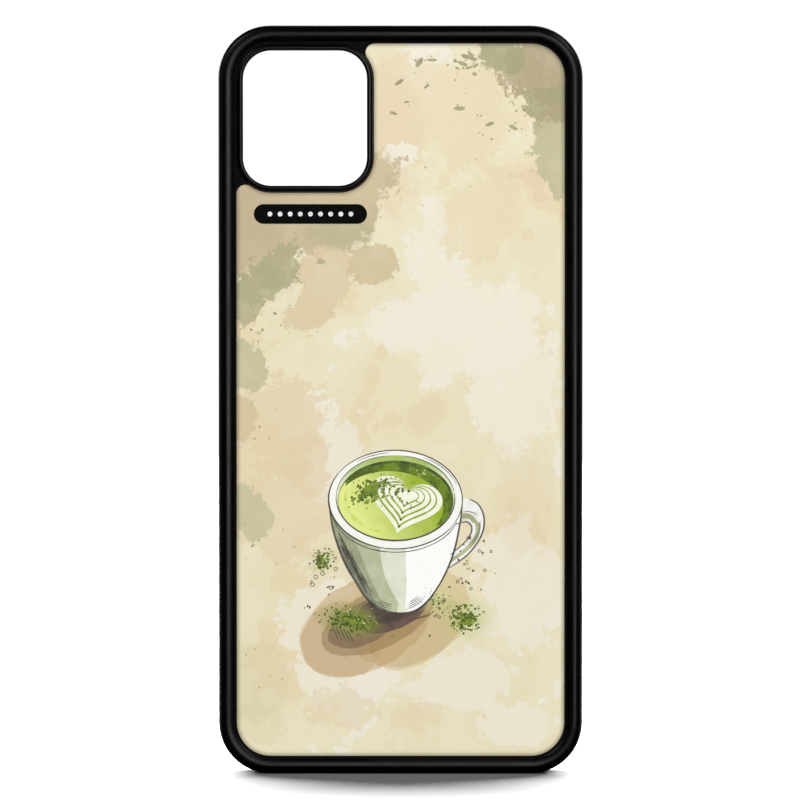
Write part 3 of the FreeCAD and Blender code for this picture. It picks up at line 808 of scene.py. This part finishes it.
# Clouds of powder, in mm from the centre of the rim: centre, spread along two axes, turn, number of chips,
# and the range of their sizes.
MILK_POWDER = [
    ((-5.2, 1.7), (2.1, 1.5), 35, 85, (0.25, 1.3)),
    ((-2.2, 3.6), (1.8, 0.7), 15, 30, (0.15, 0.7)),
]
DARK_POWDER = [
    ((1.6, 1.2), (2.1, 1.5), 0, 46, (0.15, 0.8)),
    ((7.6, 4.2), (2.2, 0.7), -38, 60, (0.12, 0.5)),
]
TABLE_POWDER = [
    ((-15.2, -12.8), (1.2, 1.1), 30, 60, (0.25, 1.0)),
    ((-9.4, -25.3), (2.7, 1.1), -12, 150, (0.25, 1.1)),
    ((14.3, -24.7), (1.9, 1.4), -20, 110, (0.25, 1.1)),
    ((9.0, -21.2), (1.4, 1.0), -30, 24, (0.2, 0.7)),
]
GLINTS = [
    ((-8.8, -24.4), (3.4, 1.3), -12, 14, (0.15, 0.5)),
    ((5.2, 5.6), (2.2, 0.6), -12, 14, (0.15, 0.5)),
]


def draw_powder():
    """Green powder on the milk and spilt beside the mug: dark chips, fresher ones over them, and glints."""
    dark_clouds = MILK_POWDER + DARK_POWDER + TABLE_POWDER
    fresh_clouds = MILK_POWDER + [(*cloud[:3], cloud[3] // 2, cloud[4]) for cloud in TABLE_POWDER]
    rng = random.Random(SEED)
    for name, ink, light, dark, patch, clouds in (
        ("powder_dark", "powder_dark_green", "566A20", "3E4F17", 0.8, dark_clouds),
        ("powder_fresh", "powder_fresh_green", "82982F", "66802A", 0.8, fresh_clouds),
        ("powder_glints", "powder_cream", "F1F0D2", "DDE0A8", 1, GLINTS),
    ):
        layer = InkLayer(name, ink_material(ink, light, dark, patch))
        for cloud in clouds:
            layer.scatter(rng, *cloud)
        layer.finish()


# The pen's lines, each from one angle to another in degrees: round the rim, with how much the ellipse grows
# and the line's width, round the inside of the rim, with the width, and under the rim, with how far below it.
RIM_ARCS = (
    (-32, 150, 0.0, 0.24),
    (148, 262, 0.0, 0.32),
    (258, 330, 0.0, 0.24),
    (20, 64, -0.45, 0.12),
    (96, 128, -0.5, 0.12),
)
INNER_ARCS = ((10, 82, 0.18), (100, 176, 0.15), (176, 300, 0.22), (292, 368, 0.26))
UNDER_RIM_ARCS = ((196, 262, 1.35), (250, 318, 1.25), (306, 342, 1.3))
HANDLE_TICKS = ([(13.9, -2.6), (15.4, -2.5), (17.0, -3.1)], [(17.6, -4.4), (17.3, -6.8), (16.0, -9.0)])
FOOT_CENTRE = (0.2, -17.6)


def draw_outlines(pen):
    """The mug's outline, with its rim drawn in broken arcs."""
    pen.stroke(smooth(BODY_LEFT + BODY_FOOT[1:3]), 0.42, 0.45)
    pen.stroke(smooth(BODY_FOOT + BODY_RIGHT[1:2]), 0.46, 0.3)
    pen.stroke(smooth(BODY_RIGHT), 0.36, 0.4)
    pen.stroke(smooth(HANDLE_OUTSIDE[1:]), 0.30, 0.4)
    pen.stroke(smooth(HANDLE_INSIDE), 0.26, 0.3)
    for tick in HANDLE_TICKS:
        pen.stroke(smooth(tick), 0.12)
    for start, end, grow, width in RIM_ARCS:
        pen.stroke(ellipse(RIM[0], RIM[1] + grow, RIM[2] + grow, RIM_TURN, start, end, 48), width, 0.3)
    for start, end, width in INNER_ARCS:
        pen.stroke(ellipse(*RIM_INSIDE, RIM_TURN, start, end, 48), width, 0.25)
    for start, end, drop in UNDER_RIM_ARCS:
        pen.stroke(ellipse((0, -drop), RIM[1] - 0.35, RIM[2] - 0.55, RIM_TURN, start, end, 40), 0.15, 0.2)
    pen.stroke(ellipse(*TEA, RIM_TURN, 170, 330, 60), 0.2, 0.2)


def draw_hatching(pen, rng):
    """Hatching down the mug's left side, round its foot, and in the drawn shadow."""
    count = 22
    for i in range(count):
        share = i / (count - 1)
        x = -11.8 + 4.6 * share + rng.uniform(-0.3, 0.3)
        z = -7.4 - 8.4 * share + rng.uniform(-0.9, 0.9)
        length = rng.uniform(2.4, 5.2)
        lean = rng.uniform(0.42, 0.6)
        middle = (x + lean * length * 0.45, z - length * 0.52)
        pen.stroke(smooth([(x, z), middle, (x + lean * length, z - length)]), rng.uniform(0.14, 0.3), 0.1)
    for i in range(4):
        start = 216 + 5 * i
        left = ellipse(FOOT_CENTRE, 6.7 - 0.5 * i, 5.6 - 0.42 * i, 0, start, start + 44 - 5 * i, 18)
        pen.stroke(left, 0.13, 0.1)
        right = ellipse(FOOT_CENTRE, 6.6 - 0.4 * i, 5.5 - 0.4 * i, 0, 288 + 4 * i, 330 - 2 * i, 18)
        pen.stroke(right, 0.12, 0.1)
    for i in range(9):
        low = ellipse(FOOT_CENTRE, 7.0 + 0.3 * i, 6.5 + 0.3 * i, -4, 218 + 4 * i, 306 - 7 * i, 30)
        pen.stroke(low, 0.16, 0.1)
    for i in range(5):
        x = 0.8 * i
        pen.stroke(smooth([(-13.2 + x, -26.0 - 0.3 * i), (-11.9 + x, -29.2 - 0.1 * i)]), 0.14, 0.1)
        pen.stroke(smooth([(3.0 + x, -25.3 + 0.2 * i), (4.6 + x, -24.5 + 0.25 * i)]), 0.12, 0.1)


def draw_specks(pen, rng):
    """Small rings and specks in an arc to the right of the mug and in a patch to its left."""
    arc_z, squash = -9, 0.95
    for _ in range(16):
        angle, away = math.radians(rng.uniform(-70, 15)), rng.uniform(15, 20)
        centre = (away * math.cos(angle), arc_z + away * math.sin(angle) * squash)
        pen.ring(centre, rng.uniform(0.22, 0.36), 0.1)
    for _ in range(9):
        pen.ring((rng.uniform(-18.5, -12.0), rng.uniform(-21.0, -12.0)), rng.uniform(0.2, 0.45), 0.1)
    for _ in range(26):
        angle, away = math.radians(rng.uniform(-80, 20)), rng.uniform(13, 22)
        pen.crumb(rng, (away * math.cos(angle), arc_z + away * math.sin(angle)), rng.uniform(0.18, 0.4))
    for _ in range(14):
        pen.crumb(rng, (rng.uniform(-19.0, -11.5), rng.uniform(-24.0, -10.5)), rng.uniform(0.18, 0.38))


def draw_lines():
    """Everything that the pen drew, in one layer."""
    rng = random.Random(SEED + 1)
    pen = InkLayer("pen_lines", ink_material("pen_ink", "453F3A", "5B534C", 2))
    draw_outlines(pen)
    draw_hatching(pen, rng)
    draw_specks(pen, rng)
    pen.finish()


# Where the brush flicked: two corners as shares of the panel's width and height, and how many flicks.
FLICK_ZONES = (
    ((0.555, 0.972), (0.600, 0.984), 3),
    ((0.685, 0.966), (0.765, 0.988), 8),
    ((0.440, 0.880), (0.900, 0.950), 7),
)

# Clouds of paint spots: centre as shares of the panel, spread in mm, how many spots, and their range of size.
SPOTS = (
    ((0.88, 0.91), (3.4, 3.0), 26, (0.2, 0.9)),
    ((0.68, 0.965), (5.5, 1.6), 14, (0.3, 1.2)),
    ((0.70, 0.87), (9.0, 7.0), 14, (0.2, 0.7)),
    ((0.10, 0.62), (3.0, 3.0), 16, (0.2, 0.9)),
    ((0.07, 0.47), (2.4, 2.0), 10, (0.2, 0.8)),
    ((0.10, 0.30), (3.0, 2.5), 9, (0.2, 0.9)),
    ((0.07, 0.15), (2.5, 4.0), 8, (0.2, 0.8)),
)


def draw_flick(layer, rng, place):
    """A short brush mark in any direction, with a crumb of paint beside it."""
    turn = rng.gauss(5, 32)
    length = rng.uniform(0.7, 2.6)
    belly = [turned(place, turn, share * length, 0.0) for share in (-0.5, -0.15, 0.2, 0.5)]
    layer.stroke(smooth(belly), length * rng.uniform(0.3, 0.45), 0.05)
    layer.crumb(rng, (place[0] + rng.uniform(-1.0, 1.0), place[1] + rng.uniform(-1.0, 1.0)), length * 0.2)


def draw_spatter():
    """Brush flicks and spots of tan paint on the ground, mostly at the upper right."""
    rng = random.Random(SEED + 2)
    paint = InkLayer("paint_spatter", ink_material("spatter_tan", SPATTER, "9C946D", 2), origin=(0.0, 0.0))
    for zone_low, zone_high, count in FLICK_ZONES:
        for _ in range(count):
            share_x, share_z = rng.uniform(zone_low[0], zone_high[0]), rng.uniform(zone_low[1], zone_high[1])
            draw_flick(paint, rng, panel_place(share_x, share_z))
    for centre, spread, count, sizes in SPOTS:
        paint.scatter(rng, panel_place(*centre), spread, 0, count, sizes)
    paint.finish()


def draw_badge_marks():
    """A plain row of dots in place of any lettering."""
    centre = ((BADGE_LOW.x + BADGE_HIGH.x) / 2, (BADGE_LOW.z + BADGE_HIGH.z) / 2)
    marks = InkLayer("badge_marks", ink_material("badge_white", "F2F2EF", "DADAD6", 1), origin=centre)
    count, pitch, radius = 9, 2.1, 0.5
    for i in range(count):
        x = (i - (count - 1) / 2) * pitch
        marks.fill(ellipse((x, 0.0), radius, radius, steps=28))
    piece = marks.finish()


# The raised dots inside the tray: pitch along a row, radii at foot and top, height, how far they stay from
# the tray's edge, with half of that from the camera collar, and how many sides they have.
DOT_PITCH = 2.4
DOT_FOOT_R = 0.42
DOT_TOP_R = 0.26
DOT_HEIGHT = 0.10
DOT_MARGIN = 2.2
DOT_SIDES = 12


def dot_has_room(x, z):
    """Whether a dot at this place stands on the flat of the tray."""
    corner_r = TRAY_CORNER_R + DOT_MARGIN
    if outside(x, z, (TRAY_LOW.x, TRAY_LOW.z), (TRAY_HIGH.x, TRAY_HIGH.z), corner_r) > -DOT_MARGIN:
        return False
    behind_collar = x < COLLAR_HIGH[0] and z > COLLAR_LOW[1]
    return not behind_collar and outside(x, z, COLLAR_LOW, COLLAR_HIGH, COLLAR_R) > DOT_MARGIN / 2


def raise_tray_dots():
    """Staggered rows of low flat-topped dots on the tray's floor, which keep a handset from sticking."""
    mesh = bmesh.new()

    def circle(x, z, radius, y):
        outline = ellipse((x, z), radius, radius, steps=DOT_SIDES)
        return [mesh.verts.new((u * MM, y * MM, w * MM)) for u, w in outline]

    for row in range(int((TRAY_HIGH.z - TRAY_LOW.z) / (DOT_PITCH / 2))):
        for column in range(int((TRAY_HIGH.x - TRAY_LOW.x) / DOT_PITCH)):
            x = TRAY_LOW.x + (column + 0.5 + 0.5 * (row % 2)) * DOT_PITCH
            z = TRAY_LOW.z + (row + 0.5) * DOT_PITCH / 2
            if not dot_has_room(x, z):
                continue
            foot = circle(x, z, DOT_FOOT_R, TRAY_HIGH.y - INK_STEP)
            top = circle(x, z, DOT_TOP_R, TRAY_HIGH.y + DOT_HEIGHT)
            mesh.faces.new(foot)
            mesh.faces.new(top)
            for i in range(DOT_SIDES):
                j = (i + 1) % DOT_SIDES
                mesh.faces.new((foot[i], foot[j], top[j], top[i]))
    dots = make_piece("tray_dots", mesh, CAD["back_tray"].data.materials[0])
    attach(dots, CASE_BODY)
    return dots


# The studio ---------------------------------------------------------------------------------------
FIELD = 166.0
CAMERA_DISTANCE = 1290.0
CAMERA_ELEVATION = 2.0
CAMERA_TARGET = Vector((-0.12, CASE_LOW.y, CASE_LOW.z + 77.85))
SENSOR = 36.0
FLOOR_RADIUS = 1500.0
FLOOR_ALBEDO = 0.8
SURROUND_RADIUS = 6000.0
SURROUND_RADIANCE = 1.1
WORLD_STRENGTH = 0.06


def stage_material(name, colour, emission):
    material = bpy.data.materials.new(name)
    material.use_nodes = True
    surface = material.node_tree.nodes["Principled BSDF"]
    surface.inputs["Base Color"].default_value = (colour, colour, colour, 1)
    surface.inputs["Roughness"].default_value = 0.9
    surface.inputs["Specular IOR Level"].default_value = 0.0
    surface.inputs["Emission Color"].default_value = (1, 1, 1, 1)
    surface.inputs["Emission Strength"].default_value = emission
    return material


def make_floor():
    bpy.ops.mesh.primitive_circle_add(vertices=96, radius=FLOOR_RADIUS * MM, fill_type="NGON")
    floor = bpy.context.object
    floor.name = "floor"
    floor.location.z = CASE_LOW.z * MM
    floor.data.materials.append(stage_material("pale_floor", FLOOR_ALBEDO, 0.0))
    floor.visible_diffuse = False
    floor.visible_glossy = False
    return floor


def make_surround():
    """A white surround that only the camera sees, so it lights nothing."""
    bpy.ops.mesh.primitive_uv_sphere_add(segments=48, ring_count=24, radius=SURROUND_RADIUS * MM)
    surround = bpy.context.object
    surround.name = "surround"
    surround.data.materials.append(stage_material("white_surround", 0.0, SURROUND_RADIANCE))
    for kind in ("diffuse", "glossy", "transmission", "volume_scatter", "shadow"):
        setattr(surround, "visible_" + kind, False)


def softbox(name, place, width, height, radiance, lit, target=None):
    """A rectangular light of the given radiance, aimed at the middle of the case unless a target is given. It
    lights only the given objects, though everything still casts its shadow."""
    target = target or (0.0, 0.0, (CASE_LOW.z + CASE_HIGH.z) / 2)
    data = bpy.data.lights.new(name, "AREA")
    data.shape = "RECTANGLE"
    data.size, data.size_y = width * MM, height * MM
    data.energy = radiance * math.pi * data.size * data.size_y
    light = bpy.data.objects.new(name, data)
    light.location = Vector(place) * MM
    aim = (Vector(target) - Vector(place)).normalized()
    light.rotation_euler = aim.to_track_quat("-Z", "Y").to_euler()
    light.visible_camera = False
    bpy.context.scene.collection.objects.link(light)
    receivers = bpy.data.collections.new(name + "_receivers")
    for piece in lit:
        receivers.objects.link(piece)
    light.light_linking.receiver_collection = receivers


def light_studio(floor, print_pieces, tray_dots):
    """The print gets a broad flat light, and the black parts a smaller one that draws a thin line along the
    rim. The floor's light is broad and comes from behind, so the case's soft shadow lies close in front of
    it. The print sends no coloured light back to the floor."""
    dark_pieces = [node for name, node in CAD.items() if name not in ("print_film", "badge_label")]
    dark_pieces.append(tray_dots)
    every_piece = dark_pieces + print_pieces
    for piece in print_pieces:
        piece.visible_diffuse = False
    softbox("print_light", (200.0, -2500.0, 850.0), 3600.0, 1650.0, 4.75, print_pieces)
    softbox("rim_light", (215.0, -900.0, 190.0), 480.0, 480.0, 2.3, dark_pieces)
    for side, name in ((-1, "left"), (1, "right")):
        softbox(name + "_high_fill", (side * 900.0, -450.0, 1000.0), 600.0, 600.0, 1.5, dark_pieces)
        softbox(name + "_strip", (side * 1100.0, 0.0, 320.0), 220.0, 600.0, 0.4, dark_pieces)
        softbox(name + "_rear_fill", (side * 800.0, 1000.0, 280.0), 700.0, 500.0, 1.1, dark_pieces)
    softbox("rear_fill", (300.0, 1100.0, 600.0), 900.0, 900.0, 1.6, every_piece)
    softbox("floor_bounce", (0.0, 210.0, 0.2), 800.0, 400.0, 0.5, dark_pieces, target=(0.0, 210.0, 1000.0))
    softbox("floor_light", (0.0, 1000.0, 1000.0), 3600.0, 500.0, 30.0, [floor])
    softbox("floor_fill", (0.0, -1500.0, 1500.0), 1200.0, 1200.0, 1.8, [floor])
    world = bpy.data.worlds.new("studio")
    bpy.context.scene.world = world
    world.use_nodes = True
    background = world.node_tree.nodes["Background"]
    background.inputs["Color"].default_value = (1, 1, 1, 1)
    background.inputs["Strength"].default_value = WORLD_STRENGTH
    world.cycles_visibility.glossy = False


def make_camera():
    data = bpy.data.cameras.new("camera")
    data.sensor_width = SENSOR
    data.lens = SENSOR * CAMERA_DISTANCE / FIELD
    camera = bpy.data.objects.new("camera", data)
    tilt = math.radians(CAMERA_ELEVATION)
    back = Vector((0.0, -math.cos(tilt), math.sin(tilt)))
    camera.location = (CAMERA_TARGET + back * CAMERA_DISTANCE) * MM
    camera.rotation_euler = (-back).to_track_quat("-Z", "Y").to_euler()
    bpy.context.scene.collection.objects.link(camera)
    bpy.context.scene.camera = camera


dress_cad_nodes()
draw_badge_marks()
draw_spatter()
draw_mug()
draw_foam()
draw_powder()
draw_lines()
print_pieces = [CAD["print_film"], CAD["badge_label"], *InkLayer.pieces]
tray_dots = raise_tray_dots()
floor = make_floor()
make_surround()
light_studio(floor, print_pieces, tray_dots)
make_camera()
bpy.context.scene.view_settings.view_transform = "Standard"
